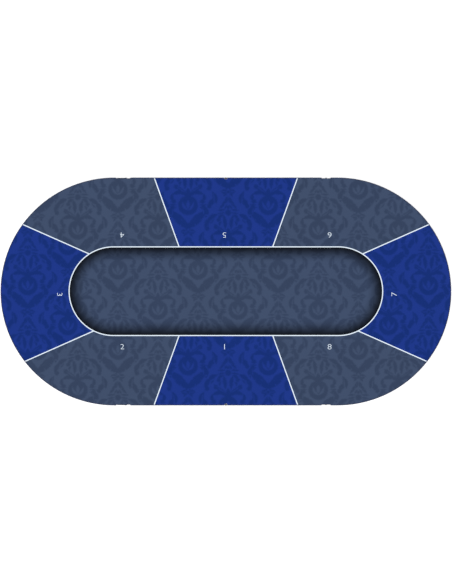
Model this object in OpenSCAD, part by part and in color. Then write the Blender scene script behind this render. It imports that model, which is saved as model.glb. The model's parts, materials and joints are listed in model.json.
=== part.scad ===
/* [Table top] */
// Length of the open top along X
table_l = 1800; // [1700:10:2000]
// Width of the open top along Y
table_w = 910; // [880:10:960]
// Gap between the two leaves along the fold
seam_gap = 0.6; // [0.4:0.1:0.8]

/* [Layers] */
// Height of the rubber feet
foot_h = 10; // [10:1:13]
// Thickness of the black lining under the board
lining_t = 0.6; // [0.4:0.1:0.8]
// Thickness of the plywood board
board_t = 12; // [12:1:15]
// Thickness of the foam padding
foam_t = 4; // [3:1:6]
// Thickness of the playing cloth
cloth_t = 0.8; // [0.6:0.1:1.2]

/* [Edge trim] */
// Thickness of the trim outside the board's edge
trim_t = 3; // [3:0.5:4]
// Height of the trim's lip above the cloth
lip_rise = 0.8; // [0.4:0.1:0.8]
// Reach of the trim's lower flange under the board
flange_w = 3; // [2:0.5:5]
// Depth of the barbed tongue in the board's groove
tongue_d = 8; // [7:1:10]
// Thickness of the tongue over its barbs
tongue_t = 2; // [1.6:0.2:2.4]

/* [Fold hinges] */
// Length of each hinge plate from the fold
hinge_l = 80; // [60:5:110]
// Height of each hinge plate
hinge_h = 10; // [9:0.5:11]
// Thickness of each hinge plate
hinge_t = 2; // [1.5:0.1:2]
// Radius of each ear around its pin
ear_r = 4; // [3.5:0.1:4.2]
// Radius of the hinge pins
pin_r = 1.5; // [1.2:0.1:1.8]
// Height of the fold axis above the cloth
fold_rise = 1; // [1:0.1:1.5]

/* [Lock bolts] */
// Distance of each bolt from the middle of the fold
bolt_y = 250; // [180:10:300]
// Radius of the bolt rods
bolt_r = 2.5; // [2:0.1:2.6]
// Travel of each bolt into its keeper
bolt_travel = 22; // [20:1:23]

/* [Carry handles] */
// Distance of each handle from the fold
handle_x = 408; // [300:1:440]
// Distance of each handle's pivot line inside the front edge
handle_inset = 25; // [22:1:32]
// Width of each handle between its legs
handle_w = 120; // [100:5:140]
// Reach of each handle from its pivot line
handle_reach = 60; // [50:5:70]
// Radius of the handle rod
rod_r = 3; // [2.5:0.1:3]
// Radius of the rubber grip sleeve
grip_r = 4; // [3.6:0.1:4]

/* [Closing hooks] */
// Distance of each hook's pivot from the fold
hook_x = 400; // [300:10:400]
// Radius of the hook pivots and catch studs
stud_r = 2; // [1.5:0.1:2.2]

/* [Feet] */
// Radius of each rubber foot
foot_r = 15; // [12:1:18]
// Distance of the end feet from the centre of the rounded end
foot_ring_r = 380; // [340:10:400]

/* [Hidden] */
$fn = 96;

// Outline: two half circles joined by straight sides
end_r = table_w / 2;
arc_x = table_l / 2 - end_r;
board_r = end_r - trim_t;

// Levels, from the floor up
lining_z = foot_h;
board_z = lining_z + lining_t;
foam_z = board_z + board_t;
cloth_z = foam_z + foam_t;
top_z = cloth_z + cloth_t;
lip_z = top_z + lip_rise;
fold_z = top_z + fold_rise;
edge_z = board_z + board_t / 2;

// Clearances
play = 0.1;
run = 0.08;
cut = 1;

// Trim section
tongue_half = tongue_t / 2;
barb_h = 0.3;
barb_l = 1.6;
barb_pitch = 3;
lip_round = 1;

// Fold hinges: the left plates sit in a recess, the right plates on the board's edge
inner_y = board_r - play - hinge_t;
outer_y = board_r;
plate_z = edge_z - hinge_h / 2;
notch_x = ear_r + 1;
pin_head_r = pin_r + 1.1;
pin_head_t = 1;
notch_y = inner_y - pin_head_t - 0.4;
hinge_screw_x = [0.25, 0.55, 0.88] * hinge_l;

// Screws: head radius, head height, shank radius, length
edge_screw = [3, 1.5, 1.4, 16];
base_screw = [2.6, 1.1, 1.3, 10];
foot_screw = [4, 2.4, 1.75, 14];
slot_w = 0.9;

// Lock bolts
base_t = 1.2;
base_z = lining_z - base_t;
bolt_z = base_z - 0.3 - bolt_r;
guide_r = bolt_r + 1.7;
base_x0 = 6;
base_l = 60;
base_w = 24;
guide_l = 10;
bolt_tip_x = -4;
bolt_l = 62;
knob_x = -48;
knob_stem_r = 1.6;
knob_r = 2.5;
knob_y0 = 6.5;
knob_l = 6;
keeper_x0 = 6;
keeper_l = 16;
keeper_w = 28;

// Carry handles
pivot_y = -(end_r - handle_inset);
handle_z = base_z - 0.2 - rod_r;
bend_r = 7;
corner_r = 12;
bracket_x = handle_w / 2 + 14;
bracket_w = 12;
bracket_l = 30;
loop_w = 10;
loop_r = rod_r + 1.6;
bracket_screw_y = 10.5;
grip_l = 84;

// Closing hooks: the arm spans from its pivot to the stud of the folded leaf
hook_reach = 2 * (fold_z - edge_z);
hook_half_w = 3;
hook_eye_r = 4.5;
hook_end_r = 5.5;
hook_tab = 6;
hook_y0 = board_r + 0.4;
hook_t = 1.6;
hook_plate_t = 1;
stud_head_r = 3.4;
stud_head_t = 0.8;
stop_r = 1.2;
hook_gap_out = hook_reach + hook_end_r + hook_tab + 3;
hook_gap_in = 18;
catch_gap = 18;
hook_plate_h = board_t - 0.8;
hook_screw_dx = [-10, 29];
catch_screw_dx = [-11, 11];

// Feet of one leaf: one in the middle, two at the fold, two mid side, two at the end
foot_seam = [60, 380];
foot_side = [arc_x, 330];
foot_end = [arc_x + foot_ring_r * cos(30), foot_ring_r * sin(30)];
foot_spots = concat(
    [[handle_x, 0]],
    [for (s = [-1, 1]) each [for (p = [foot_seam, foot_side, foot_end]) [p.x, s * p.y]]]
);
foot_taper = 1.5;
foot_recess_r = 5.4;
foot_recess_h = 4;

// ---- Placing ----

module left() {
    mirror([1, 0, 0]) children();
}

module front_and_back() {
    children();
    mirror([0, 1, 0]) children();
}

// Turns a shape's +Z outwards on the back edge
module on_edge(x, y, z) {
    translate([x, y, z]) rotate([-90, 0, 0]) children();
}

// Turns a shape's +Z down under the top
module underneath(x, y, z) {
    translate([x, y, z]) rotate([180, 0, 0]) children();
}

module span_box(low, high) {
    translate(low) cube(high - low);
}

// ---- Fasteners ----

// Countersunk screw, its head's face at z = 0 and its point below
module flat_screw_body(s) {
    translate([0, 0, -s[1]]) cylinder(r1 = s[2], r2 = s[0], h = s[1]);
    translate([0, 0, -s[3]]) cylinder(r = s[2], h = s[3] - s[1]);
}

module cross_recess(head_r, depth) {
    for (a = [0, 90])
        rotate([0, 0, a])
            translate([-head_r * 0.6, -slot_w / 2, -depth])
                cube([head_r * 1.2, slot_w, depth + cut]);
}

module flat_screw(s) {
    difference() {
        flat_screw_body(s);
        cross_recess(s[0], s[1] * 0.7);
    }
}

// Pan-head screw, the underside of its head at z = 0 and its point below
module pan_screw_body(s) {
    cylinder(r1 = s[0], r2 = s[0] * 0.8, h = s[1]);
    translate([0, 0, -s[3]]) cylinder(r = s[2], h = s[3]);
}

module pan_screw(s) {
    difference() {
        pan_screw_body(s);
        translate([0, 0, s[1]]) cross_recess(s[0], s[1] * 0.5);
    }
}

// ---- Layers of one leaf, drawn for the right side ----

module leaf_slab(r, z, h) {
    intersection() {
        union() {
            translate([0, -r, z]) cube([arc_x, 2 * r, h]);
            translate([arc_x, 0, z]) cylinder(r = r, h = h, $fn = 256);
        }
        span_box([seam_gap / 2, -table_w, z - cut], [table_l, table_w, z + h + cut]);
    }
}

// Room for the hinge ears and pins at both ends of the fold
module fold_notches() {
    front_and_back() span_box([-cut, notch_y, 0], [notch_x, table_w, fold_z + ear_r]);
}

module groove() {
    difference() {
        leaf_slab(board_r + cut, edge_z - tongue_half, tongue_t);
        leaf_slab(board_r - tongue_d, edge_z - tongue_t, 2 * tongue_t);
    }
}

module place_foot_screws() {
    for (p = foot_spots) underneath(p.x, p.y, foot_recess_h) children();
}

module place_hinge_screws(y) {
    front_and_back() for (x = hinge_screw_x) on_edge(x, y, edge_z) children();
}

module place_hook_plate_screws() {
    front_and_back() for (dx = hook_screw_dx) on_edge(hook_x + dx, board_r, edge_z) children();
}

module place_catch_screws() {
    front_and_back() for (dx = catch_screw_dx) on_edge(hook_x + dx, board_r, edge_z) children();
}

module place_bracket_screws() {
    for (sx = [-1, 1], sy = [-1, 1])
        underneath(handle_x + sx * bracket_x, pivot_y + sy * bracket_screw_y, base_z) children();
}

module place_base_screws() {
    for (x = [base_x0 + 15, base_x0 + base_l - 15], y = [-9, 9])
        front_and_back() underneath(x, bolt_y + y, base_z) children();
}

module place_keeper_screws() {
    for (y = [-10, 10])
        front_and_back() underneath(keeper_x0 + keeper_l / 2, bolt_y + y, base_z) children();
}

module foot_screw_holes() {
    place_foot_screws() pan_screw_body(foot_screw);
}

module left_underside_holes() {
    foot_screw_holes();
    place_bracket_screws() flat_screw_body(base_screw);
    place_base_screws() flat_screw_body(base_screw);
}

module right_underside_holes() {
    foot_screw_holes();
    place_bracket_screws() flat_screw_body(base_screw);
    place_keeper_screws() flat_screw_body(base_screw);
}

module edge_plate_recess(x0, x1) {
    front_and_back()
        span_box([x0, board_r - hook_plate_t, edge_z - hook_plate_h / 2],
                 [x1, board_r + cut, edge_z + hook_plate_h / 2]);
}

module leaf_board() {
    difference() {
        leaf_slab(board_r, board_z, board_t);
        groove();
        fold_notches();
    }
}

module left_board() {
    color("tan") left() difference() {
        leaf_board();
        front_and_back()
            span_box([0, inner_y, plate_z], [hinge_l, board_r + cut, plate_z + hinge_h]);
        edge_plate_recess(hook_x - hook_gap_in + 4, hook_x + hook_gap_out - 4);
        place_hinge_screws(inner_y + hinge_t) flat_screw_body(edge_screw);
        place_hook_plate_screws() flat_screw_body(base_screw);
        left_underside_holes();
    }
}

module right_board() {
    color("tan") difference() {
        leaf_board();
        edge_plate_recess(hook_x - catch_gap + 3, hook_x + catch_gap - 3);
        place_hinge_screws(outer_y + hinge_t) flat_screw_body(edge_screw);
        place_catch_screws() flat_screw_body(base_screw);
        right_underside_holes();
    }
}

module leaf_foam() {
    color("dimgray") difference() {
        leaf_slab(board_r, foam_z, foam_t);
        fold_notches();
    }
}

module leaf_cloth() {
    color([0.24, 0.29, 0.4]) difference() {
        leaf_slab(board_r, cloth_z, cloth_t);
        fold_notches();
    }
}

module left_lining() {
    color([0.08, 0.08, 0.09]) left() difference() {
        leaf_slab(end_r - trim_t - flange_w, lining_z, lining_t);
        fold_notches();
        left_underside_holes();
    }
}

module right_lining() {
    color([0.08, 0.08, 0.09]) difference() {
        leaf_slab(end_r - trim_t - flange_w, lining_z, lining_t);
        fold_notches();
        right_underside_holes();
    }
}

// ---- Edge trim ----

// Upper (s = 1) or lower (s = -1) outline of the barbed tongue, from its root to its tip
function tongue_side(s) = [
    [board_r, edge_z + s * (tongue_half - barb_h)],
    for (i = [0, 1]) each [
        [board_r - 1 - i * barb_pitch, edge_z + s * (tongue_half - barb_h)],
        [board_r - 1 - i * barb_pitch, edge_z + s * tongue_half],
        [board_r - 1 - i * barb_pitch - barb_l, edge_z + s * (tongue_half - barb_h)]
    ],
    [board_r - tongue_d + 0.2, edge_z + s * (tongue_half - barb_h)]
];

function reversed(list) = [for (i = [len(list) - 1 : -1 : 0]) list[i]];

trim_section = concat(
    [
        [board_r - flange_w, lining_z],
        [end_r - lip_round, lining_z],
        [end_r, lining_z + lip_round],
        [end_r, lip_z - lip_round],
        [end_r - lip_round * 0.3, lip_z - lip_round * 0.3],
        [end_r - lip_round, lip_z],
        [board_r + lip_round * 0.5, lip_z],
        [board_r, lip_z - lip_round * 0.5]
    ],
    tongue_side(1),
    reversed(tongue_side(-1)),
    [
        [board_r, board_z],
        [board_r - flange_w, board_z]
    ]
);

module trim_run() {
    translate([arc_x, 0, 0])
        rotate([0, 0, -90])
            rotate_extrude(angle = 180, $fn = 256)
                polygon(trim_section);
    front_and_back()
        translate([notch_x, 0, 0])
            rotate([90, 0, 90])
                linear_extrude(height = arc_x - notch_x)
                    polygon(trim_section);
}

// The trim with room for the hinge plates and for one gap in each straight side
module leaf_trim(gap_x0, gap_x1) {
    low_y = board_r - tongue_d - cut;
    difference() {
        trim_run();
        front_and_back() {
            span_box([0, low_y, 0], [hinge_l + 2, table_w, foam_z]);
            span_box([gap_x0, low_y, 0], [gap_x1, table_w, fold_z]);
        }
    }
}

module left_edge_trim() {
    color([0.17, 0.2, 0.29]) left() leaf_trim(hook_x - hook_gap_in, hook_x + hook_gap_out);
}

module right_edge_trim() {
    color([0.17, 0.2, 0.29]) leaf_trim(hook_x - catch_gap, hook_x + catch_gap);
}

// ---- Feet ----

module leaf_feet() {
    color([0.13, 0.13, 0.13]) for (p = foot_spots) translate([p.x, p.y, 0]) difference() {
        union() {
            cylinder(r1 = foot_r - foot_taper, r2 = foot_r, h = foot_taper);
            translate([0, 0, foot_taper]) cylinder(r = foot_r, h = foot_h - foot_taper);
        }
        translate([0, 0, -cut]) cylinder(r = foot_recess_r, h = foot_recess_h + cut);
        cylinder(r = foot_screw[2], h = foot_h + cut);
    }
}

module leaf_foot_screws() {
    color("silver") place_foot_screws() pan_screw(foot_screw);
}

// ---- Fold hinges ----

// One leaf's pair of plates in the layer that starts at y0, with ears on the fold axis
module hinge_plates(y0, bore_r) {
    difference() {
        front_and_back() difference() {
            union() {
                span_box([-ear_r, y0, plate_z], [hinge_l, y0 + hinge_t, plate_z + hinge_h]);
                span_box([-ear_r, y0, plate_z], [ear_r, y0 + hinge_t, fold_z]);
                on_edge(0, y0, fold_z) cylinder(r = ear_r, h = hinge_t);
            }
            on_edge(0, y0 - cut, fold_z) cylinder(r = bore_r, h = hinge_t + 2 * cut);
        }
        place_hinge_screws(y0 + hinge_t) flat_screw_body(edge_screw);
    }
}

module left_hinge_plates() {
    color([0.1, 0.1, 0.11]) left() hinge_plates(inner_y, pin_r);
}

module right_hinge_plates() {
    color([0.1, 0.1, 0.11]) hinge_plates(outer_y, pin_r + 0.05);
}

module left_hinge_screws() {
    color([0.15, 0.15, 0.16]) left() place_hinge_screws(inner_y + hinge_t) flat_screw(edge_screw);
}

module right_hinge_screws() {
    color([0.15, 0.15, 0.16]) place_hinge_screws(outer_y + hinge_t) flat_screw(edge_screw);
}

module hinge_pins() {
    outer_head_y = outer_y + hinge_t + play;
    color([0.2, 0.2, 0.21]) front_and_back() {
        on_edge(0, inner_y - pin_head_t, fold_z) cylinder(r = pin_head_r, h = pin_head_t);
        on_edge(0, inner_y - pin_head_t / 2, fold_z) cylinder(r = pin_r, h = end_r - inner_y);
        on_edge(0, outer_head_y, fold_z) cylinder(r = pin_head_r, h = end_r - outer_head_y);
    }
}

// ---- Lock bolts ----

// A loop under a base plate, around a rod along X
module guide_loop(x0, length, z, r) {
    plate_mid_z = base_z + base_t / 2;
    span_box([x0, -r, z], [x0 + length, r, plate_mid_z]);
    intersection() {
        translate([x0, 0, z]) rotate([0, 90, 0]) cylinder(r = r, h = length);
        span_box([x0, -r, 0], [x0 + length, r, plate_mid_z]);
    }
}

module bolt_base() {
    difference() {
        union() {
            span_box([-base_x0 - base_l, -base_w / 2, base_z], [-base_x0, base_w / 2, lining_z]);
            guide_loop(-base_x0 - guide_l - 2, guide_l, bolt_z, guide_r);
            guide_loop(-base_x0 - base_l + 2, guide_l, bolt_z, guide_r);
        }
        translate([-base_x0 - base_l - cut, 0, bolt_z])
            rotate([0, 90, 0]) cylinder(r = bolt_r + run, h = base_l + 2 * cut);
    }
}

module bolt_bases() {
    color("silver") difference() {
        front_and_back() translate([0, bolt_y, 0]) bolt_base();
        left() place_base_screws() flat_screw_body(base_screw);
    }
}

module bolt_base_screws() {
    color("gainsboro") left() place_base_screws() flat_screw(base_screw);
}

// Rod along X with a coned tip, and a side knob between the two guides
module lock_bolt(y) {
    tip_l = 2;
    color("lightgray") translate([0, y, bolt_z]) {
        translate([bolt_tip_x - bolt_l, 0, 0])
            rotate([0, 90, 0]) cylinder(r = bolt_r, h = bolt_l - tip_l);
        translate([bolt_tip_x - tip_l, 0, 0])
            rotate([0, 90, 0]) cylinder(r1 = bolt_r, r2 = bolt_r - 1, h = tip_l);
        on_edge(knob_x, 0, 0) cylinder(r = knob_stem_r, h = knob_y0 + knob_l / 2);
        on_edge(knob_x, knob_y0, 0) cylinder(r = knob_r, h = knob_l);
        translate([knob_x, knob_y0 + knob_l, 0]) sphere(r = knob_r, $fn = 48);
    }
}

module front_bolt() {
    lock_bolt(-bolt_y);
}

module back_bolt() {
    lock_bolt(bolt_y);
}

module bolt_keepers() {
    keeper_x1 = keeper_x0 + keeper_l;
    color("silver") difference() {
        front_and_back() translate([0, bolt_y, 0]) difference() {
            union() {
                span_box([keeper_x0, -keeper_w / 2, base_z], [keeper_x1, keeper_w / 2, lining_z]);
                guide_loop(keeper_x0 + 2, keeper_l - 4, bolt_z, guide_r + 0.2);
            }
            translate([keeper_x0 - cut, 0, bolt_z])
                rotate([0, 90, 0]) cylinder(r = bolt_r + 0.4, h = keeper_l + 2 * cut);
        }
        place_keeper_screws() flat_screw_body(base_screw);
    }
}

module bolt_keeper_screws() {
    color("gainsboro") place_keeper_screws() flat_screw(base_screw);
}

// ---- Carry handles, drawn for the right leaf ----

module handle_brackets() {
    color("silver") difference() {
        for (s = [-1, 1]) translate([handle_x + s * bracket_x, pivot_y, 0]) difference() {
            union() {
                span_box([-bracket_w / 2, -bracket_l / 2, base_z],
                         [bracket_w / 2, bracket_l / 2, lining_z]);
                guide_loop(-loop_w / 2, loop_w, handle_z, loop_r);
            }
            translate([-bracket_w, 0, handle_z])
                rotate([0, 90, 0]) cylinder(r = rod_r + run, h = 2 * bracket_w);
        }
        place_bracket_screws() flat_screw_body(base_screw);
    }
}

module bracket_screws() {
    color("gainsboro") place_bracket_screws() flat_screw(base_screw);
}

// A quarter bend of rod about a vertical line, from direction a to a + 90 degrees
module quarter_bend(centre, radius, a) {
    translate([centre.x, centre.y, handle_z])
        rotate([0, 0, a])
            rotate_extrude(angle = 90)
                translate([radius, 0]) circle(r = rod_r, $fn = 48);
}

// Half of the bail: pivot end, bend, leg, corner and half the grip bar
module half_bail() {
    leg_x = handle_w / 2;
    grip_y = pivot_y + handle_reach;
    stub_end = bracket_x + loop_w / 2 + 1.5;
    translate([leg_x + bend_r, pivot_y, handle_z])
        rotate([0, 90, 0]) cylinder(r = rod_r, h = stub_end - leg_x - bend_r, $fn = 48);
    quarter_bend([leg_x + bend_r, pivot_y + bend_r], bend_r, 180);
    translate([leg_x, pivot_y + bend_r, handle_z])
        rotate([-90, 0, 0]) cylinder(r = rod_r, h = handle_reach - bend_r - corner_r, $fn = 48);
    quarter_bend([leg_x - corner_r, grip_y - corner_r], corner_r, 0);
    translate([0, grip_y, handle_z])
        rotate([0, 90, 0]) cylinder(r = rod_r, h = leg_x - corner_r, $fn = 48);
}

module handle_rod() {
    color("silver") translate([handle_x, 0, 0]) {
        half_bail();
        mirror([1, 0, 0]) half_bail();
    }
}

module handle_grip() {
    color([0.12, 0.12, 0.12])
        translate([handle_x - grip_l / 2, pivot_y + handle_reach, handle_z])
            rotate([0, 90, 0]) difference() {
                cylinder(r = grip_r, h = grip_l);
                translate([0, 0, -cut]) cylinder(r = rod_r, h = grip_l + 2 * cut);
            }
}

// ---- Closing hooks ----

// Stud with a flat head, standing out of the back edge at hook_x
module edge_stud() {
    on_edge(hook_x, board_r - hook_plate_t / 2, edge_z)
        cylinder(r = stud_r, h = trim_t + hook_plate_t / 2);
    on_edge(hook_x, end_r - stud_head_t, edge_z) cylinder(r = stud_head_r, h = stud_head_t);
}

module hook_plates() {
    x0 = hook_x - hook_gap_in + 4;
    x1 = hook_x + hook_gap_out - 4;
    stop_z = edge_z - hook_half_w - play - stop_r;
    color([0.12, 0.12, 0.13]) left() difference() {
        front_and_back() {
            span_box([x0, board_r - hook_plate_t, edge_z - hook_plate_h / 2],
                     [x1, board_r, edge_z + hook_plate_h / 2]);
            edge_stud();
            on_edge(hook_x + hook_reach * 0.6, board_r - hook_plate_t / 2, stop_z)
                cylinder(r = stop_r, h = hook_plate_t / 2 + hook_t);
        }
        place_hook_plate_screws() flat_screw_body(base_screw);
    }
}

module hook_plate_screws() {
    color([0.2, 0.2, 0.21]) left() place_hook_plate_screws() flat_screw(base_screw);
}

// Flat arm in the XZ plane, stowed along -X, its catch slot opening upwards
module edge_hook() {
    slot_r = stud_r + 0.7;
    color([0.12, 0.12, 0.13]) left() difference() {
        union() {
            on_edge(hook_x, hook_y0, edge_z) cylinder(r = hook_eye_r, h = hook_t);
            on_edge(hook_x + hook_reach, hook_y0, edge_z) cylinder(r = hook_end_r, h = hook_t);
            span_box([hook_x, hook_y0, edge_z - hook_half_w],
                     [hook_x + hook_reach, hook_y0 + hook_t, edge_z + hook_half_w]);
            span_box([hook_x + hook_reach, hook_y0, edge_z - hook_half_w],
                     [hook_x + hook_reach + hook_end_r + hook_tab, hook_y0 + hook_t, edge_z]);
        }
        on_edge(hook_x, hook_y0 - cut, edge_z) cylinder(r = stud_r + run, h = hook_t + 2 * cut);
        on_edge(hook_x + hook_reach, hook_y0 - cut, edge_z)
            cylinder(r = slot_r, h = hook_t + 2 * cut);
        span_box([hook_x + hook_reach - slot_r, hook_y0 - cut, edge_z],
                 [hook_x + hook_reach + slot_r, hook_y0 + hook_t + cut, edge_z + 2 * hook_end_r]);
    }
}

module front_hook() {
    mirror([0, 1, 0]) edge_hook();
}

module back_hook() {
    edge_hook();
}

module catch_studs() {
    color([0.12, 0.12, 0.13]) difference() {
        front_and_back() {
            span_box([hook_x - catch_gap + 3, board_r - hook_plate_t, edge_z - hook_plate_h / 2],
                     [hook_x + catch_gap - 3, board_r, edge_z + hook_plate_h / 2]);
            edge_stud();
        }
        place_catch_screws() flat_screw_body(base_screw);
    }
}

module catch_stud_screws() {
    color([0.2, 0.2, 0.21]) place_catch_screws() flat_screw(base_screw);
}

// ---- Assembly ----

left_board();
left() leaf_foam();  // left_foam
left() leaf_cloth();  // left_cloth
left_edge_trim();
left_lining();
left() leaf_feet();  // left_feet
left() leaf_foot_screws();  // left_foot_screws
right_board();
leaf_foam();  // right_foam
leaf_cloth();  // right_cloth
right_edge_trim();
right_lining();
leaf_feet();  // right_feet
leaf_foot_screws();  // right_foot_screws
left_hinge_plates();
left_hinge_screws();
hinge_pins();
right_hinge_plates();
right_hinge_screws();
bolt_bases();
bolt_base_screws();
front_bolt();
back_bolt();
bolt_keepers();
bolt_keeper_screws();
left() handle_brackets();  // left_handle_brackets
left() bracket_screws();  // left_bracket_screws
left() handle_rod();  // left_handle_rod
left() handle_grip();  // left_handle_grip
handle_brackets();  // right_handle_brackets
bracket_screws();  // right_bracket_screws
handle_rod();  // right_handle_rod
handle_grip();  // right_handle_grip
hook_plates();
hook_plate_screws();
front_hook();
back_hook();
catch_studs();
catch_stud_screws();
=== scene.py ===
import json
import math

import bpy
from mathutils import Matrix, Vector


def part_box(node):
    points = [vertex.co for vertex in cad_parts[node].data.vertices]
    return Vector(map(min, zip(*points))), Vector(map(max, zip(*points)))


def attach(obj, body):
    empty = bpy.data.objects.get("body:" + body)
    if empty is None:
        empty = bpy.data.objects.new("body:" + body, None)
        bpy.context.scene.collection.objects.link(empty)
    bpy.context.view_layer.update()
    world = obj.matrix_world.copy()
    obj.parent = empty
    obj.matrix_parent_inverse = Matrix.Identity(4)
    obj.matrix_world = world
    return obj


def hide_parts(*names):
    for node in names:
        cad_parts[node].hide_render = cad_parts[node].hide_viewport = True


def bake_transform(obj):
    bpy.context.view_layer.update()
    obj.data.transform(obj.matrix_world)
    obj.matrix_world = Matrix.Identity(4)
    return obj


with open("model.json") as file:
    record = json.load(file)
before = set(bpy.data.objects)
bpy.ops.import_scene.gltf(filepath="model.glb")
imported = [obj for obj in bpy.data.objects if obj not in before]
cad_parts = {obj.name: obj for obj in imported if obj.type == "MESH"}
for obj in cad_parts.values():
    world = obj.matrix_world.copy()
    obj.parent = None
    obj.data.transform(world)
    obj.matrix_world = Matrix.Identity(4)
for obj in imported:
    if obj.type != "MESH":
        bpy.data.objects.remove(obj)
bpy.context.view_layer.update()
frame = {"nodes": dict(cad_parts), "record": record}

# ---- Sizes, in metres, from the frame ----

MM = 0.001
CLOTH_LOW, CLOTH_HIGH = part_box("right_cloth")
FOAM_LOW, FOAM_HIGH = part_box("right_foam")
# The cloth's outline is two half circles of EDGE_R about x = ARC_X and x = -ARC_X, and straight sides
EDGE_R = CLOTH_HIGH.y
ARC_X = CLOTH_HIGH.x - EDGE_R
CLOTH_Z = CLOTH_HIGH.z
SEAM_X = CLOTH_LOW.x
TABLE_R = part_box("right_edge_trim")[1].y
# The cloth and foam are cut away around the hinge ears, out to NOTCH_X and beyond NOTCH_Y
NOTCH_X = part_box("left_hinge_plates")[1].x + 1 * MM
NOTCH_Y = 448.5 * MM
# How finely the half circles are divided, and where cells are first cut beside and before the notch
CAP_STEPS = 96
BESIDE_NOTCH = 15 * MM
BEFORE_NOTCH = 8 * MM
# Closer than this counts as on an edge
ON_EDGE = 0.01 * MM

# The printed layout, on the cloth: its middle, and the white ring's straight half length and its radius
PRINT_DY = 1.2 * MM
RING_X = 449 * MM
RING_R = 177 * MM
RING_STEPS = 72
LINE_HALF = 1.95 * MM
INK_T = 0.12 * MM
INK_LIFT = 0.02 * MM
# The lines to the long sides: where they leave the ring, and their run along X for each step along Y
SIDE_LINE_X = 186.8 * MM
SIDE_LINE_RUN = 0.36
# The lines to the rounded ends: a point on them, the middle's shift along Y, and their slope
END_LINE_AT = (679.7 * MM, 217.1 * MM)
END_LINE_DY = -7.7 * MM
END_LINE_SLOPE = math.radians(23.9)
# The numbers' height, how far their strokes are thinned, and how much wider they are than the typeface's
DIGIT_H = 20.5 * MM
DIGIT_THIN = -0.018
DIGIT_WIDEN = 1.22
ONE_W = 2.4 * MM
# The seat numbers' places: rows before and behind the ring, and one number beyond each end
SEAT_X = 414 * MM
MIDDLE_SEAT_X = -5.5 * MM
FRONT_SEAT_Y = -220.5 * MM
BACK_SEAT_Y = 225.5 * MM
END_SEAT_X = 667.5 * MM
END_SEAT_DX = 4 * MM
END_SEAT_Y = -11 * MM
# Each number's place, and its turn in degrees, so that it faces its seat
DIGITS = {
    "1": (MIDDLE_SEAT_X, FRONT_SEAT_Y, 0),
    "2": (-SEAT_X, FRONT_SEAT_Y, 0),
    "3": (END_SEAT_DX - END_SEAT_X, END_SEAT_Y, -90),
    "4": (-SEAT_X, BACK_SEAT_Y, 180),
    "5": (MIDDLE_SEAT_X, BACK_SEAT_Y, 180),
    "6": (SEAT_X, BACK_SEAT_Y, 180),
    "7": (END_SEAT_DX + END_SEAT_X, END_SEAT_Y, 90),
    "8": (SEAT_X, FRONT_SEAT_Y, 0),
}

# The cloth is cut into narrow cells within this distance of the fold, where it is to turn over, and has a
# faint crease there
FOLD_HALF = 1.5 * MM
FOLD_STEPS = 5
FOLD_XS = [FOLD_HALF * i / FOLD_STEPS for i in range(-FOLD_STEPS, FOLD_STEPS + 1)]
CREASE_W = 0.7 * MM
CREASE_DEPTH = 0.1 * MM

# The lining's edge is pressed thinner, and the foam's is rounded off
LINING_EDGE = 2 * MM
LINING_PRESS = 0.25 * MM
FOAM_ROUND = 0.5 * MM

# The cloth's edge is tucked down beside the trim, and its cells are cut at these distances from its edge
TUCK_W = 2 * MM
TUCK_DEPTH = 0.2 * MM
TUCK_STATIONS = [2 * MM, 1 * MM, 0.4 * MM]


# ---- Meshes ----


def add_piece(name, data):
    """A new object in the scene."""
    piece = bpy.data.objects.new(name, data)
    bpy.context.scene.collection.objects.link(piece)
    return piece


def mesh_piece(name, vertices, faces):
    """A new mesh object in the scene."""
    mesh = bpy.data.meshes.new(name)
    mesh.from_pydata(vertices, [], faces)
    mesh.validate()
    return add_piece(name, mesh)


def shell(name, cells, top, bottom):
    """A closed mesh over flat cells, each a list of (x, y) points counterclockwise. top and bottom give z.

    The attribute "rest" keeps each point's place, for materials on pieces that bend.
    """
    index, points, directed, rings = {}, [], set(), []
    for cell in cells:
        ring = []
        for x, y in cell:
            key = (round(x, 7), round(y, 7))
            if key not in index:
                index[key] = len(points)
                points.append(key)
            if not ring or ring[-1] != index[key]:
                ring.append(index[key])
        if ring[0] == ring[-1]:
            ring.pop()
        if len(ring) > 2:
            rings.append(ring)
            directed.update(zip(ring, ring[1:] + ring[:1]))
    n = len(points)
    vertices = [(x, y, top(x, y)) for x, y in points] + [(x, y, bottom(x, y)) for x, y in points]
    faces = [list(ring) for ring in rings] + [[i + n for i in reversed(ring)] for ring in rings]
    faces += [(a + n, b + n, b, a) for a, b in sorted(directed) if (b, a) not in directed]
    piece = mesh_piece(name, vertices, faces)
    at = piece.data.attributes.new("rest", "FLOAT_VECTOR", "POINT")
    for i, v in enumerate(piece.data.vertices):
        at.data[i].vector = v.co
    return piece


def grid(xs, ys):
    """Cells between two rising lists of stations."""
    return [
        [(x0, y0), (x1, y0), (x1, y1), (x0, y1)]
        for x0, x1 in zip(xs, xs[1:])
        for y0, y1 in zip(ys, ys[1:])
    ]


def fan(centre, radii, angles):
    """Cells of a polar grid about a centre."""
    cx, cy = centre

    def at(r, a):
        return (cx + r * math.cos(a), cy + r * math.sin(a))

    return [
        [at(r0, a0), at(r1, a0), at(r1, a1), at(r0, a1)]
        for r0, r1 in zip(radii, radii[1:])
        for a0, a1 in zip(angles, angles[1:])
    ]


def spread(low, high, count):
    return [low + (high - low) * i / count for i in range(count + 1)]


def counterclockwise(cell):
    """The cell, turned round if it runs clockwise."""
    area = sum(p[0] * q[1] - q[0] * p[1] for p, q in zip(cell, cell[1:] + cell[:1]))
    return cell if area > 0 else cell[::-1]


def turned(cells, angle, dx, dy):
    """The cells turned about the origin and then moved."""
    c, s = math.cos(angle), math.sin(angle)
    return [[(x * c - y * s + dx, x * s + y * c + dy) for x, y in cell] for cell in cells]


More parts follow.
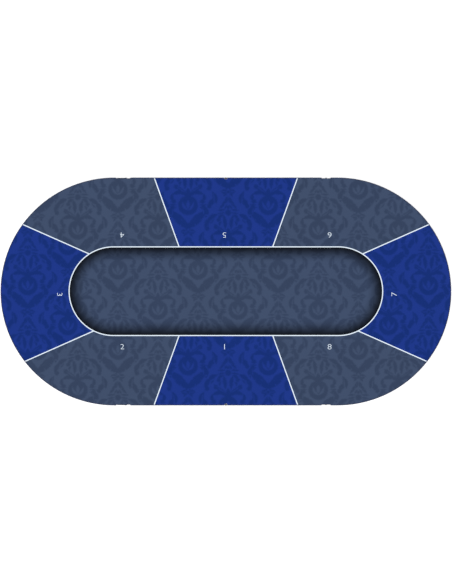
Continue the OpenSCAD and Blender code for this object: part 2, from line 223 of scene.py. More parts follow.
def mirrored(cells, x=False, y=False):
    """The cells mirrored, still counterclockwise."""
    sx, sy = (-1 if x else 1), (-1 if y else 1)
    out = [[(px * sx, py * sy) for px, py in cell] for cell in cells]
    return [cell[::-1] for cell in out] if x != y else out


def cut_at(cells, x):
    """Splits convex cells along the upright line through x."""
    out = []
    for cell in cells:
        for side in (-1, 1):
            part = []
            for p, q in zip(cell, cell[1:] + cell[:1]):
                if (p[0] - x) * side >= 0:
                    part.append(p)
                if (p[0] - x) * (q[0] - x) < 0:
                    low, high = sorted((p, q))
                    share = (x - low[0]) / (high[0] - low[0])
                    part.append((x, low[1] + share * (high[1] - low[1])))
            if len({round(px, 7) for px, _ in part}) > 1:
                out.append(part)
    return out


def smooth_by_angle(piece, degrees):
    for polygon in piece.data.polygons:
        polygon.use_smooth = True
    piece.data.set_sharp_from_angle(angle=math.radians(degrees))


# ---- Printed cloth ----


def cloth_cells():
    radii = [r * EDGE_R for r in (0, 0.1, 0.2, 0.3, 0.4, 0.5, 0.6, 0.7, 0.8, 0.88, 0.94)]
    radii += [NOTCH_Y - BEFORE_NOTCH, NOTCH_Y] + [EDGE_R - back for back in TUCK_STATIONS] + [EDGE_R]
    ys = [-r for r in reversed(radii[1:])] + radii
    side = spread(NOTCH_X + BESIDE_NOTCH, ARC_X, 10)
    xs = [-x for x in reversed(side)] + [-NOTCH_X] + FOLD_XS + [NOTCH_X] + side

    def in_notch(cell):
        x, y = (abs(sum(p[axis] for p in cell) / len(cell)) for axis in (0, 1))
        return x < NOTCH_X and y > NOTCH_Y

    cells = [cell for cell in grid(xs, ys) if not in_notch(cell)]
    cap = fan((ARC_X, 0), radii, spread(-math.pi / 2, math.pi / 2, CAP_STEPS))
    return cells + cap + mirrored(cap, x=True)


def from_edge(x, y):
    """Distance inside the cloth's edge."""
    return EDGE_R - math.hypot(max(abs(x) - ARC_X, 0), y)


def cloth_top(x, y):
    """Flat, tucked down beside the trim, with a faint crease on the fold."""
    tuck = max(0.0, 1 - from_edge(x, y) / TUCK_W)
    crease = math.exp(-((x / CREASE_W) ** 2))
    return CLOTH_Z - TUCK_DEPTH * tuck ** 2 - CREASE_DEPTH * crease


def cloth_bottom(x, y):
    return CLOTH_LOW.z


# ---- Printed lines and numbers ----


def ink_top(x, y):
    return cloth_top(x, y) + INK_T


def ink_bottom(x, y):
    return cloth_top(x, y) + INK_LIFT


def on_circle(centre, radius, point, direction):
    """Where a line leaves a circle."""
    dx, dy = point[0] - centre[0], point[1] - centre[1]
    along = dx * direction[0] + dy * direction[1]
    root = math.sqrt(along ** 2 - dx * dx - dy * dy + radius ** 2)
    return (point[0] + (root - along) * direction[0], point[1] + (root - along) * direction[1])


def strip(inner, outer):
    """Cells of a straight line from two inner corners to two outer ones, finer where the cloth is tucked."""
    length = math.dist(inner[0], outer[0])
    shares = [0.0] + [1 - back / length for back in TUCK_STATIONS] + [1.0]

    def at(side, share):
        return tuple(a + (b - a) * share for a, b in zip(inner[side], outer[side]))

    cells = [[at(0, s0), at(0, s1), at(1, s1), at(1, s0)] for s0, s1 in zip(shares, shares[1:])]
    return [counterclockwise(cell) for cell in cells]


def side_line(up):
    """The line from the ring to a long side, where x > 0: its cells, and both x where it meets the ring."""
    start = RING_R + LINE_HALF
    half = LINE_HALF * math.hypot(1, SIDE_LINE_RUN)

    def at(along, side):
        return (SIDE_LINE_X + (along - RING_R) * SIDE_LINE_RUN + side * half, PRINT_DY + up * along)

    end = EDGE_R - up * PRINT_DY
    inner, outer = [at(start, -1), at(start, 1)], [at(end, -1), at(end, 1)]
    return strip(inner, outer), [x for x, _ in inner]


def end_line(up):
    """The line from the ring to the rounded end, where x > 0: its cells, and the two angles at the ring."""
    direction = (math.cos(END_LINE_SLOPE), up * math.sin(END_LINE_SLOPE))
    across = (-direction[1], direction[0])
    centre = (RING_X, PRINT_DY)
    inner, outer = [], []
    at_x, at_y = END_LINE_AT[0], up * END_LINE_AT[1] + END_LINE_DY
    for side in (-LINE_HALF, LINE_HALF):
        through = (at_x + side * across[0], at_y + side * across[1])
        inner.append(on_circle(centre, RING_R + LINE_HALF, through, direction))
        outer.append(on_circle((ARC_X, 0), EDGE_R, through, direction))
    angles = [math.atan2(p[1] - centre[1], p[0] - centre[0]) for p in inner]
    return strip(inner, outer), angles


def line_cells():
    """The racetrack ring and the eight lines between the seats."""
    cells, xs, angles = [], {}, []
    for up in (1, -1):
        line, stations = side_line(up)
        cells += line + mirrored(line, x=True)
        side = sorted(stations) + [NOTCH_X, RING_X]
        xs[up] = sorted(set(FOLD_XS + side + [-x for x in side]))
        line, stations = end_line(up)
        cells += line + mirrored(line, x=True)
        angles += stations
    for up in (1, -1):
        ys = sorted(PRINT_DY + up * (RING_R + s * LINE_HALF) for s in (-1, 1))
        cells += grid(xs[up], ys)
    radii = [RING_R - LINE_HALF, RING_R + LINE_HALF]
    arc = sorted(spread(-math.pi / 2, math.pi / 2, RING_STEPS) + angles)
    cap = fan((RING_X, PRINT_DY), radii, arc)
    return cells + cap + mirrored(cap, x=True)


def glyph_cells(text):
    """A figure's cells, DIGIT_H tall and centred. The 1 is a plain bar."""
    if text == "1":
        return grid([-ONE_W / 2, ONE_W / 2], [-DIGIT_H / 2, DIGIT_H / 2])
    curve = bpy.data.curves.new("figure", "FONT")
    curve.body = text
    curve.offset = DIGIT_THIN
    holder = add_piece("figure", curve)
    mesh = holder.evaluated_get(bpy.context.evaluated_depsgraph_get()).to_mesh()
    points = [v.co.xy for v in mesh.vertices]
    low = Vector((min(p.x for p in points), min(p.y for p in points)))
    high = Vector((max(p.x for p in points), max(p.y for p in points)))
    scale, middle = DIGIT_H / (high.y - low.y), (low + high) / 2
    cells = []
    for polygon in mesh.polygons:
        offsets = [(points[i] - middle) * scale for i in polygon.vertices]
        cells.append(counterclockwise([(offset.x * DIGIT_WIDEN, offset.y) for offset in offsets]))
    bpy.data.objects.remove(holder)
    return cells


def digit_cells(text):
    x, y, turn = DIGITS[text]
    cells = turned(glyph_cells(text), math.radians(turn), x, y)
    for station in FOLD_XS:
        cells = cut_at(cells, station)
    return cells


# ---- Node trees ----


class Num:
    """A number in a node tree, with Python's operators."""

    def __init__(self, graph, socket):
        self.graph, self.socket = graph, socket

    def __add__(self, other):
        return self.graph.math("ADD", self, other)

    def __sub__(self, other):
        return self.graph.math("SUBTRACT", self, other)

    def __rsub__(self, other):
        return self.graph.math("SUBTRACT", other, self)

    def __mul__(self, other):
        return self.graph.math("MULTIPLY", self, other)

    def __truediv__(self, other):
        return self.graph.math("DIVIDE", self, other)

    def __abs__(self):
        return self.graph.math("ABSOLUTE", self)

    __radd__, __rmul__ = __add__, __mul__

    def most(self, other):
        return self.graph.math("MAXIMUM", self, other)

    def least(self, other):
        return self.graph.math("MINIMUM", self, other)

    def above(self, other):
        return self.graph.math("GREATER_THAN", self, other)


class Graph:
    """A new material and short ways to fill its node tree."""

    def __init__(self, name):
        self.material = bpy.data.materials.new(name)
        self.material.use_nodes = True
        self.tree = self.material.node_tree
        self.tree.nodes.clear()
        self.shader = self.tree.nodes.new("ShaderNodeBsdfPrincipled")
        out = self.tree.nodes.new("ShaderNodeOutputMaterial")
        self.tree.links.new(self.shader.outputs["BSDF"], out.inputs["Surface"])

    def feed(self, socket, value):
        if isinstance(value, Num):
            self.tree.links.new(value.socket, socket)
        elif isinstance(value, bpy.types.NodeSocket):
            self.tree.links.new(value, socket)
        else:
            socket.default_value = value

    def set(self, **values):
        """Shader inputs by name, with _ for a space."""
        for name, value in values.items():
            self.feed(self.shader.inputs[name.replace("_", " ")], value)

    def math(self, operation, *values):
        node = self.tree.nodes.new("ShaderNodeMath")
        node.operation = operation
        for socket, value in zip(node.inputs, values):
            self.feed(socket, value)
        return Num(self, node.outputs[0])

    def vector_math(self, operation, *values):
        node = self.tree.nodes.new("ShaderNodeVectorMath")
        node.operation = operation
        for socket, value in zip(node.inputs, values):
            self.feed(socket, value)
        return node

    def stretched(self, vector, x, y, z):
        """A vector times (x, y, z), part by part."""
        return self.vector_math("MULTIPLY", vector, (x, y, z)).outputs["Vector"]

    def dot(self, vector, x, y, z, scale):
        """A vector's product with scale times (x, y, z)."""
        node = self.vector_math("DOT_PRODUCT", vector, (x * scale, y * scale, z * scale))
        return Num(self, node.outputs["Value"])

    def distance(self, vector, x, y, z):
        return Num(self, self.vector_math("DISTANCE", vector, (x, y, z)).outputs["Value"])

    def combine(self, x, y, z=0.0):
        node = self.tree.nodes.new("ShaderNodeCombineXYZ")
        for socket, value in zip(node.inputs, (x, y, z)):
            self.feed(socket, value)
        return node.outputs[0]

    def split(self, vector):
        node = self.tree.nodes.new("ShaderNodeSeparateXYZ")
        self.feed(node.inputs[0], vector)
        return [Num(self, s) for s in node.outputs]

    def ramp(self, value, low, high, to_low=0.0, to_high=1.0, smooth=True):
        node = self.tree.nodes.new("ShaderNodeMapRange")
        node.interpolation_type = "SMOOTHSTEP" if smooth else "LINEAR"
        for socket, v in zip(node.inputs, (value, low, high, to_low, to_high)):
            self.feed(socket, v)
        return Num(self, node.outputs[0])

    def mix(self, factor, a, b):
        """Colour a at factor 0, b at 1."""
        node = self.tree.nodes.new("ShaderNodeMix")
        node.data_type = "RGBA"
        self.feed(node.inputs["Factor"], factor)
        self.feed(node.inputs["A"], a)
        self.feed(node.inputs["B"], b)
        return node.outputs["Result"]

    def scaled(self, colour, factor):
        """A colour or a vector times a number."""
        node = self.vector_math("SCALE", colour)
        self.feed(node.inputs["Scale"], factor)
        return node.outputs["Vector"]

    def noise(self, vector, scale, detail=2.0, roughness=0.5):
        node = self.tree.nodes.new("ShaderNodeTexNoise")
        self.feed(node.inputs["Vector"], vector)
        self.feed(node.inputs["Scale"], scale)
        self.feed(node.inputs["Detail"], detail)
        self.feed(node.inputs["Roughness"], roughness)
        return Num(self, node.outputs["Fac"])

    def cells(self, vector, scale):
        """Distance to the nearest point of a random set."""
        node = self.tree.nodes.new("ShaderNodeTexVoronoi")
        self.feed(node.inputs["Vector"], vector)
        self.feed(node.inputs["Scale"], scale)
        return Num(self, node.outputs["Distance"])

    def object_place(self):
        """Where a rigid piece's surface is, in metres."""
        return self.tree.nodes.new("ShaderNodeTexCoord").outputs["Object"]

    def rest_place(self):
        """Where a bending piece's surface is at rest, in metres."""
        node = self.tree.nodes.new("ShaderNodeAttribute")
        node.attribute_name = "rest"
        return node.outputs["Vector"]

    def bump(self, height, strength, distance):
        node = self.tree.nodes.new("ShaderNodeBump")
        self.feed(node.inputs["Height"], height)
        node.inputs["Strength"].default_value = strength
        node.inputs["Distance"].default_value = distance
        self.feed(self.shader.inputs["Normal"], node.outputs[0])


# How bright a white surface that faces up is in the studio's light
LIGHT = 1.1


def srgb(r, g, b, light=1.0):
    """A linear colour from 0 to 255 screen values, as a surface that shows so under that much light."""
    out = []
    for v in (r, g, b):
        v /= 255
        out.append((v / 12.92 if v <= 0.04045 else ((v + 0.055) / 1.055) ** 2.4) / light)
    return (*out, 1.0)


# ---- The damask print, in millimetres ----

# The middle is shaded from the ring inwards, between these distances
VIGNETTE = (-6.0, 65.0)

# The motif repeats every PERIOD across and up, and again half a PERIOD over and half a PERIOD up
PERIOD = 320.0
PLAIN_ORIGIN = (-111.0, 86.0)
BLUE_ORIGIN = (-151.0, 24.0)

# Leaves of the motif's right half, about its fruit: from, to, width, and how far the leaf bows to the left of
# the way from one to the other, in widths
LEAVES = [
    # fruit's side bars
    ((46, 12), (70, 14), 7, 0.0), ((47, 2), (74, 2), 7, 0.0), ((46, -8), (70, -10), 7, 0.0),
    # wreath below the fruit
    ((60, -2), (71, -50), 22, 0.28), ((78, -22), (26, -80), 27, -0.28), ((54, -61), (-10, -94), 26, -0.2),
    ((50, -34), (16, -66), 14, -0.3), ((24, -50), (6, -76), 11, 0.0),
    # crown over the fruit
    ((-6, 36), (48, 80), 19, -0.25), ((4, 46), (64, 42), 17, 0.5), ((62, 48), (58, 14), 14, 0.35),
    ((0, 40), (2, 68), 14, 0.0), ((44, 66), (56, 84), 9, 0.3),
    # stems over the crown
    ((12, 64), (20, 122), 15, 0.22), ((16, 122), (40, 102), 13, 0.4), ((26, 96), (34, 78), 9, 0.4),
    # shoulders of the frame
    ((42, 124), (82, 98), 18, 0.22), ((70, 112), (90, 62), 19, 0.28), ((56, 106), (70, 88), 7, 0.0),
    # side hooks
    ((96, 56), (112, 6), 18, 0.25), ((116, 26), (82, -10), 20, -0.35), ((98, 36), (103, 14), 7, 0.0),
    # fern under the frame's peak
    ((5, 194), (12, 166), 9, 0.2), ((8, 180), (24, 158), 9, 0.2), ((12, 166), (34, 146), 9, 0.2),
    ((4, 162), (14, 146), 8, 0.0), ((12, 142), (42, 140), 8, 0.0), ((12, 131), (42, 126), 8, 0.0),
    # ribbon under the wreath
    ((1, -106), (29, -105), 8, 0.7), ((1, -106), (29, -105), 8, -0.7), ((3, -113), (18, -125), 8, 0.3),
    ((3, -97), (12, -93), 6, 0.0), ((3, -124), (10, -152), 9, -0.2),
]
# Discs of the right half: centre and radius
DISCS = [
    ((0, 0), 39), ((0, 43), 15), ((0, 131), 12), ((0, 152), 6), ((0, -106), 6), ((48, 74), 9), ((57, 16), 9),
    ((84, 68), 9), ((84, -3), 9), ((38, 102), 8), ((62, -8), 10),
]
# Light cuts between the leaves of the right half, written like the leaves
CUTS = [
    ((86, -43), (66, -38), 5, 0.0), ((64, -74), (50, -56), 5, 0.0), ((36, -94), (28, -74), 5, 0.0),
    ((60, -14), (62, -34), 3, 0.2), ((14, 54), (42, 72), 3, -0.3), ((48, 116), (80, 82), 3, 0.25),
    ((102, 42), (104, 8), 3, 0.3),
    # bud inside the fruit
    ((0, -14), (0, 20), 14, 0.0), ((-2, -20), (23, 12), 10, -0.5),
]
# The print's soft edge, and how far and how finely its outline wavers
SOFT = 4.5
WAVER = 9
WAVER_SCALE = 0.14


def copies(points, reach):
    """The moves and mirrorings that bring a shape into the repeat's smallest part, 0 to PERIOD / 4 across."""
    for side in (1, -1):
        for column in range(-2, 3):
            for row in range(-2, 3):
                if (column + row) % 2:
                    continue
                dx, dy = column * PERIOD / 2, row * PERIOD / 2
                xs = [side * x + dx for x, _ in points]
                ys = [y + dy for _, y in points]
                across = max(xs) > -reach and min(xs) < PERIOD / 4 + reach
                if across and max(ys) > -PERIOD / 2 - reach and min(ys) < PERIOD / 2 + reach:
                    yield side, dx, dy


def leaf(g, at, start, end, width, bow, side):
    """Height above 0 inside a pointed leaf, about in millimetres. at is (u, v, 1)."""
    bow *= side
    length = math.dist(start, end)
    dx, dy = (end[0] - start[0]) / length, (end[1] - start[1]) / length
    mx, my = (start[0] + end[0]) / 2, (start[1] + end[1]) / 2
    t = g.dot(at, dx, dy, -(mx * dx + my * dy), 2 / length)
    s = g.dot(at, -dy, dx, mx * dy - my * dx, 2 / width)
    belly = 1 - t * t
    return (belly - abs(s - belly * (2 * bow))) * (width / 2)


def leaves(g, at, shapes):
    """Height above 0 inside any of these leaves."""
    best = None
    for start, end, width, bow in shapes:
        for side, dx, dy in copies((start, end), abs(bow) * width + width / 2):
            a, b = ((side * x + dx, y + dy) for x, y in (start, end))
            shape = leaf(g, at, a, b, width, bow, side)
            best = shape if best is None else best.most(shape)
    return best


def motif(g, u, v):
    """Height of the motif at (u, v), above 0 inside a shape, in about millimetres."""
    at = g.combine(u, v, 1.0)
    best = leaves(g, at, LEAVES)
    for centre, radius in DISCS:
        for side, dx, dy in copies((centre,), radius):
            best = best.most(radius - g.distance(at, side * centre[0] + dx, centre[1] + dy, 1.0))
    return best.least(0 - leaves(g, at, CUTS))


def damask(g, x, y, blue):
    """1 on the dark motif and 0 on the ground."""
    ox = g.math("MULTIPLY_ADD", blue, BLUE_ORIGIN[0] - PLAIN_ORIGIN[0], PLAIN_ORIGIN[0])
    oy = g.math("MULTIPLY_ADD", blue, BLUE_ORIGIN[1] - PLAIN_ORIGIN[1], PLAIN_ORIGIN[1])
    x, y = x - ox, y - oy
    half = PERIOD / 2
    shift = g.math("FLOOR", x / half + 0.5) * half
    u = abs(x - shift)
    v = g.math("WRAP", y - shift, half, -half)
    waver = g.noise(g.combine(x, y), WAVER_SCALE, 3.0) - 0.5
    return g.ramp(motif(g, u, v) + waver * WAVER, -SOFT, SOFT)


def in_ring(g, x, y):
    """Distance inside the racetrack ring."""
    py = y - PRINT_DY / MM
    dx = (abs(x) - RING_X / MM).most(0)
    return RING_R / MM - g.math("SQRT", dx * dx + py * py)


def sectors(g, x, y):
    """1 on the blue seats, at the middle of the long sides and at the ends, and 0 elsewhere."""
    ax = abs(x)
    py = abs(y - PRINT_DY / MM)
    middle = ((py - RING_R / MM) * SIDE_LINE_RUN + SIDE_LINE_X / MM).above(ax)
    rise = math.tan(END_LINE_SLOPE)
    end = ((ax - END_LINE_AT[0] / MM) * rise + END_LINE_AT[1] / MM).above(abs(y - END_LINE_DY / MM))
    return middle.most(end) * (0 - in_ring(g, x, y)).above(0)


def weave_of(g, place):
    """Fine threads along and across the cloth."""
    warp = g.noise(g.stretched(place, 900, 160, 1), 1.0, 3.0)
    weft = g.noise(g.stretched(place, 160, 900, 1), 1.0, 3.0)
    return warp + weft


def cloth_material():
    g = Graph("printed_speed_cloth")
    place = g.rest_place()
    x, y, _ = g.split(g.scaled(place, 1 / MM))
    blue = sectors(g, x, y)
    figure = damask(g, x, y, blue)
    ground = g.mix(blue, srgb(64, 79, 107, LIGHT), srgb(27, 54, 138, LIGHT))
    motif_colour = g.mix(blue, srgb(53, 67, 94, LIGHT), srgb(17, 46, 119, LIGHT))
    printed = g.mix(figure, ground, motif_colour)
    depth = in_ring(g, x, y)
    shade = g.ramp(depth, *VIGNETTE, 0.02, 1.0).most((0 - depth).above(0))
    weave = weave_of(g, place)
    mottle = g.noise(place, 9.0, 4.0)
    threads = g.ramp(weave, 0.6, 1.4, 0.95, 1.05, smooth=False)
    tone = shade * threads * g.ramp(mottle, 0.3, 0.7, 0.985, 1.015)
    g.set(Base_Color=g.scaled(printed, tone))
    g.set(Roughness=g.ramp(weave, 0.6, 1.4, 0.98, 0.86, smooth=False))
    g.set(Specular_IOR_Level=0.1, Sheen_Weight=0.03, Sheen_Roughness=0.5)
    g.bump(weave, 0.25, 0.25 * MM)
    return g.material


def ink_material():
    g = Graph("white_print")
    place = g.rest_place()
    weave = weave_of(g, place)
    worn = g.mix(g.ramp(weave, 0.7, 1.3), srgb(236, 247, 255), srgb(226, 240, 254))
    g.set(Base_Color=worn, Roughness=0.85, Specular_IOR_Level=0.2)
    g.bump(weave, 0.2, 0.2 * MM)
    return g.material


def foam_material():
    g = Graph("closed_cell_foam")
    place = g.object_place()
    pores = g.cells(place, 1400.0)
    # The foam's own dark grey, darker in the pit at each pore's middle where the bump sinks: painted shade in
    # the pits.
    colour = g.mix(g.ramp(pores, 0.1, 0.6), srgb(34, 35, 38), srgb(60, 61, 65))
    g.set(Base_Color=colour, Roughness=0.95, Specular_IOR_Level=0.2)
    g.bump(pores, 0.6, 0.3 * MM)
    return g.material


def plywood_material():
    g = Graph("birch_plywood")
    place = g.object_place()
    low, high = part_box("right_board")
    x, y, z = g.split(place)
    plies = 9
    layer = (z - low.z) * (plies / (high.z - low.z))
    index = g.math("FLOOR", layer)
    odd = g.math("MODULO", index, 2.0).above(0.5)
    edge = g.math("FRACT", layer)
    glue = g.ramp(abs(edge - 0.5), 0.44, 0.5)
    along = g.noise(g.stretched(place, 14, 260, 900), 1.0, 5.0, 0.6)
    across = g.noise(g.stretched(place, 260, 14, 900), 1.0, 5.0, 0.6)
    grain = along + (across - along) * odd
    pale = g.mix(grain, srgb(216, 184, 138), srgb(182, 143, 98))
    dark = g.mix(grain, srgb(186, 147, 101), srgb(148, 108, 70))
    wood = g.mix(odd, pale, dark)
    g.set(Base_Color=g.mix(glue, wood, srgb(98, 68, 44)), Roughness=g.ramp(grain, 0.3, 0.7, 0.55, 0.75))
    g.bump(grain, 0.3, 0.3 * MM)
    return g.material


def trim_material():
    g = Graph("navy_pvc_trim")
    place = g.object_place()
    grain = g.noise(place, 900.0, 3.0)
    scuffs = g.noise(g.stretched(place, 30, 30, 500), 1.0, 4.0)
    g.set(
        Base_Color=g.mix(g.ramp(scuffs, 0.5, 0.8), srgb(32, 43, 76), srgb(48, 58, 88)),
        Roughness=g.ramp(scuffs + grain * 0.4, 0.5, 1.0, 0.38, 0.6),
    )
    g.bump(grain, 0.15, 0.15 * MM)
    return g.material


def lining_material():
    g = Graph("black_felt_lining")
    place = g.object_place()
    fuzz = g.noise(place, 700.0, 6.0, 0.7)
    cloud = g.noise(place, 12.0, 3.0)
    tone = g.ramp(fuzz * 0.7 + cloud * 0.3, 0.35, 0.65)
    g.set(Base_Color=g.mix(tone, srgb(36, 36, 39), srgb(64, 64, 68)), Roughness=0.97)
    g.set(Specular_IOR_Level=0.1, Sheen_Weight=0.2, Sheen_Roughness=0.4)
    g.bump(fuzz, 0.6, 0.4 * MM)
    return g.material


def rubber_material(name, light, dark):
    g = Graph(name)
    place = g.object_place()
    grain = g.noise(place, 1600.0, 3.0)
    dust = g.noise(place, 60.0, 4.0)
    g.set(
        Base_Color=g.mix(g.ramp(dust, 0.4, 0.75), srgb(*dark), srgb(*light)),
        Roughness=g.ramp(dust, 0.3, 0.7, 0.7, 0.88),
        Specular_IOR_Level=0.3,
    )
    g.bump(grain, 0.35, 0.15 * MM)
    return g.material


def steel_material(name, bright, dull, streaks, roughness):
    """Brushed or plated steel. streaks is how finely its marks run along X, Y and Z."""
    g = Graph(name)
    place = g.object_place()
    brushed = g.noise(g.stretched(place, *streaks), 1.0, 4.0, 0.6)
    stain = g.noise(place, 40.0, 4.0)
    g.set(
        Base_Color=g.mix(g.ramp(brushed * 0.6 + stain * 0.4, 0.35, 0.7), srgb(*bright), srgb(*dull)),
        Roughness=g.ramp(brushed, 0.3, 0.7, *roughness),
        Metallic=1.0,
    )
    g.bump(brushed, 0.15, 0.05 * MM)
    return g.material


def painted_steel_material():
    g = Graph("black_coated_steel")
    place = g.object_place()
    orange_peel = g.noise(place, 1200.0, 2.0)
    rub = g.ramp(g.noise(place, 180.0, 5.0), 0.62, 0.72)
    g.set(
        Base_Color=g.mix(rub, srgb(17, 18, 20), srgb(74, 74, 76)),
        Roughness=g.ramp(orange_peel, 0.3, 0.7, 0.35, 0.5),
        Metallic=rub * 0.7,
    )
    g.bump(orange_peel, 0.25, 0.08 * MM)
    return g.material


# ---- Pieces ----


def paint(obj, material):
    obj.data.materials.clear()
    obj.data.materials.append(material)


def make_cloth(material):
    cloth = shell("printed_cloth", cloth_cells(), cloth_top, cloth_bottom)
    smooth_by_angle(cloth, 50)
    paint(cloth, material)
    return cloth


def make_ink(material):
    lines = shell("seat_lines", line_cells(), ink_top, ink_bottom)
    numbers = shell("seat_numbers", [c for text in DIGITS for c in digit_cells(text)], ink_top, ink_bottom)
    for piece in (lines, numbers):
        paint(piece, material)
    return lines, numbers


def make_foam(side, material):
    """A foam pad, its edges rounded off."""
    radii = [r * EDGE_R for r in (0, 0.2, 0.4, 0.6, 0.8, 0.94)] + [NOTCH_Y, EDGE_R]
    ys = [-r for r in reversed(radii[1:])] + radii
    xs = [SEAM_X, NOTCH_X] + spread(NOTCH_X + BESIDE_NOTCH, ARC_X, 8)
    cells = [
        cell for cell in grid(xs, ys)
        if not (cell[1][0] <= NOTCH_X and min(abs(y) for _, y in cell) >= NOTCH_Y)
    ]
    cells += fan((ARC_X, 0), radii, spread(-math.pi / 2, math.pi / 2, CAP_STEPS))
    if side == "left":
        cells = mirrored(cells, x=True)

    def rounding(x, y):
        at_edge = min(from_edge(x, y), abs(x) - SEAM_X) < ON_EDGE
        return FOAM_ROUND if at_edge else 0.0

    def top(x, y):
        return FOAM_HIGH.z - rounding(x, y)

    def bottom(x, y):
        return FOAM_LOW.z + rounding(x, y)

    pad = shell(f"{side}_foam_pad", cells, top, bottom)
    paint(pad, material)
    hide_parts(f"{side}_foam")
    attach(pad, f"{side}_leaf")
    return pad


def make_lining(side, material):
    """The thin felt under a board."""
    low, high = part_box(f"{side}_lining")
    edge_r = high.y
    radii = [r * edge_r for r in (0, 0.25, 0.5, 0.75)] + [edge_r - LINING_EDGE, edge_r]
    ys = [-r for r in reversed(radii[1:])] + radii
    xs = [SEAM_X, SEAM_X + LINING_EDGE] + spread(NOTCH_X + BESIDE_NOTCH, ARC_X, 6)
    cells = grid(xs, ys) + fan((ARC_X, 0), radii, spread(-math.pi / 2, math.pi / 2, CAP_STEPS))
    if side == "left":
        cells = mirrored(cells, x=True)

    def top(x, y):
        return high.z

    def bottom(x, y):
        """Pressed thinner along its cut edge."""
        inside = edge_r - math.hypot(max(abs(x) - ARC_X, 0), y)
        at_edge = min(inside, abs(x) - SEAM_X) < ON_EDGE
        return low.z + (LINING_PRESS if at_edge else 0)

    felt = shell(f"{side}_felt_lining", cells, top, bottom)
    paint(felt, material)
    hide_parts(f"{side}_lining")
    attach(felt, f"{side}_leaf")


# The grip's ribs along its length, points around it, points along each rib, and the grooves' depth
RIBS, GRIP_AROUND, GRIP_PER_RIB = 16, 40, 6
GROOVE = 0.35 * MM
GRIP_CHAMFER = 0.5 * MM
# The plain collars at both ends together
GRIP_COLLARS = 8 * MM


def make_grip(side, material):
    """A ribbed rubber sleeve on the handle's bar: rings of points along X, joined into a tube."""
    low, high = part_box(f"{side}_handle_grip")
    rod_low, rod_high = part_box(f"{side}_handle_rod")
    middle, half_l = (low + high) / 2, (high.x - low.x) / 2
    outer, inner = (high.z - low.z) / 2, (rod_high.z - rod_low.z) / 2
    profile = [(-half_l, inner), (-half_l, outer - GRIP_CHAMFER), (-half_l + GRIP_CHAMFER, outer)]
    span = 2 * half_l - GRIP_COLLARS
    for i in range(RIBS * GRIP_PER_RIB + 1):
        share = i / (RIBS * GRIP_PER_RIB)
        groove = max(0.0, math.cos(2 * math.pi * share * RIBS)) ** 2
        profile.append((-span / 2 + span * share, outer - GROOVE * groove))
    profile += [(half_l - GRIP_CHAMFER, outer), (half_l, outer - GRIP_CHAMFER), (half_l, inner)]
    vertices, faces = [], []
    for x, r in profile:
        for k in range(GRIP_AROUND):
            a = 2 * math.pi * k / GRIP_AROUND
            vertices.append((middle.x + x, middle.y + r * math.cos(a), middle.z + r * math.sin(a)))
    for i in range(len(profile)):
        row, next_row = i * GRIP_AROUND, (i + 1) % len(profile) * GRIP_AROUND
        for k in range(GRIP_AROUND):
            after = (k + 1) % GRIP_AROUND
            faces.append((row + k, row + after, next_row + after, next_row + k))
    grip = mesh_piece(f"{side}_ribbed_grip", vertices, faces)
    smooth_by_angle(grip, 40)
    paint(grip, material)
    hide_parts(f"{side}_handle_grip")
    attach(grip, f"{side}_handle")
    return grip


# ---- Build ----

cloth = make_cloth(cloth_material())
lines, numbers = make_ink(ink_material())
for piece in (cloth, lines, numbers):
    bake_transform(piece)
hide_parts("left_cloth", "right_cloth")

foam = foam_material()
pads = [make_foam(side, foam) for side in ("left", "right")]

grip_rubber = rubber_material("grip_rubber", (58, 58, 60), (32, 32, 33))
felt = lining_material()
for side in ("left", "right"):
    make_grip(side, grip_rubber)
    make_lining(side, felt)

zinc = steel_material("zinc_plated_steel", (156, 158, 161), (104, 105, 108), (60, 900, 900), (0.26, 0.42))
screw = steel_material("screw_steel", (186, 186, 186), (128, 127, 124), (500, 500, 500), (0.22, 0.38))
# The carried-over CAD nodes' finishes, by the record's slots
FINISHES = {
    "plywood": plywood_material(),
    "edge_trim": trim_material(),
    "rubber": rubber_material("foot_rubber", (74, 73, 71), (36, 36, 36)),
    "zinc_steel": zinc,
    "screw_steel": screw,
    "black_steel": painted_steel_material(),
}
slots = {s["node"]: s["material_slot"] for s in frame["record"]["subparts"]}
for name, node in frame["nodes"].items():
    if slots[name] in FINISHES:
        paint(node, FINISHES[slots[name]])


# ---- Stage, light and camera ----


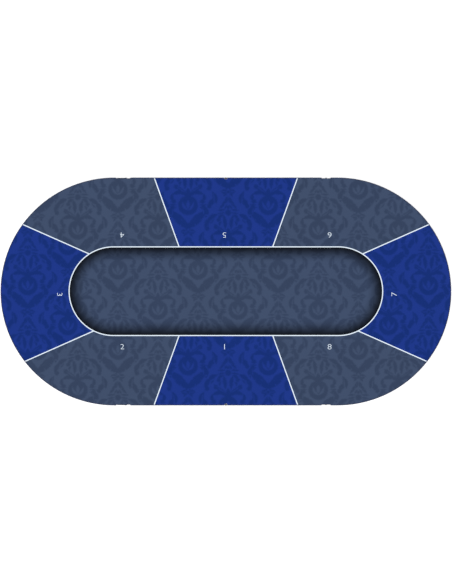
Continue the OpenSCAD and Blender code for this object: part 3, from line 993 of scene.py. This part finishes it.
def make_floor():
    """A wide pale floor that glows a little, so that it shows near white."""
    half = 30.0
    corners = [(-half, -half, 0), (half, -half, 0), (half, half, 0), (-half, half, 0)]
    floor = mesh_piece("floor", corners, [(0, 1, 2, 3)])
    g = Graph("pale_floor")
    g.set(Base_Color=(0.9, 0.9, 0.9, 1), Roughness=0.9, Specular_IOR_Level=0.1)
    g.set(Emission_Color=(1, 1, 1, 1), Emission_Strength=0.5)
    paint(floor, g.material)


def make_light():
    """A white sky that is brighter overhead, and a broad soft sun."""
    side_glow, top_glow, top_height = 0.35, 0.9, 0.8
    world = bpy.data.worlds.new("studio")
    world.use_nodes = True
    tree = world.node_tree
    up = tree.nodes.new("ShaderNodeSeparateXYZ")
    tree.links.new(tree.nodes.new("ShaderNodeTexCoord").outputs["Generated"], up.inputs[0])
    glow = tree.nodes.new("ShaderNodeMapRange")
    glow.interpolation_type = "SMOOTHSTEP"
    for socket, value in zip(list(glow.inputs)[1:5], (0.0, top_height, side_glow, top_glow)):
        socket.default_value = value
    tree.links.new(up.outputs["Z"], glow.inputs["Value"])
    tree.nodes["Background"].inputs["Color"].default_value = (1, 1, 1, 1)
    tree.links.new(glow.outputs[0], tree.nodes["Background"].inputs["Strength"])
    bpy.context.scene.world = world
    sun = bpy.data.lights.new("soft_key", "SUN")
    sun.energy = 1.0
    sun.angle = math.radians(50)
    key = add_piece("soft_key", sun)
    key.rotation_euler = (math.radians(18), math.radians(-20), 0)


def make_camera():
    """Straight above and far off. The top fills nearly the whole width, and sits a little off the middle."""
    picture_w, picture_h = 452, 584
    share_of_width = 0.997345
    off_middle = (0.4 * MM, -2.0 * MM)
    data = bpy.data.cameras.new("camera")
    data.lens = 135
    data.sensor_width = 36
    data.clip_end = 100
    camera = add_piece("camera", data)
    view_w = 2 * (TABLE_R + ARC_X) / share_of_width
    view_h = view_w * picture_h / picture_w
    camera.location = (*off_middle, CLOTH_Z + view_h * data.lens / data.sensor_width)
    bpy.context.scene.camera = camera


make_floor()
make_light()
make_camera()
bpy.context.scene.view_settings.view_transform = "Standard"
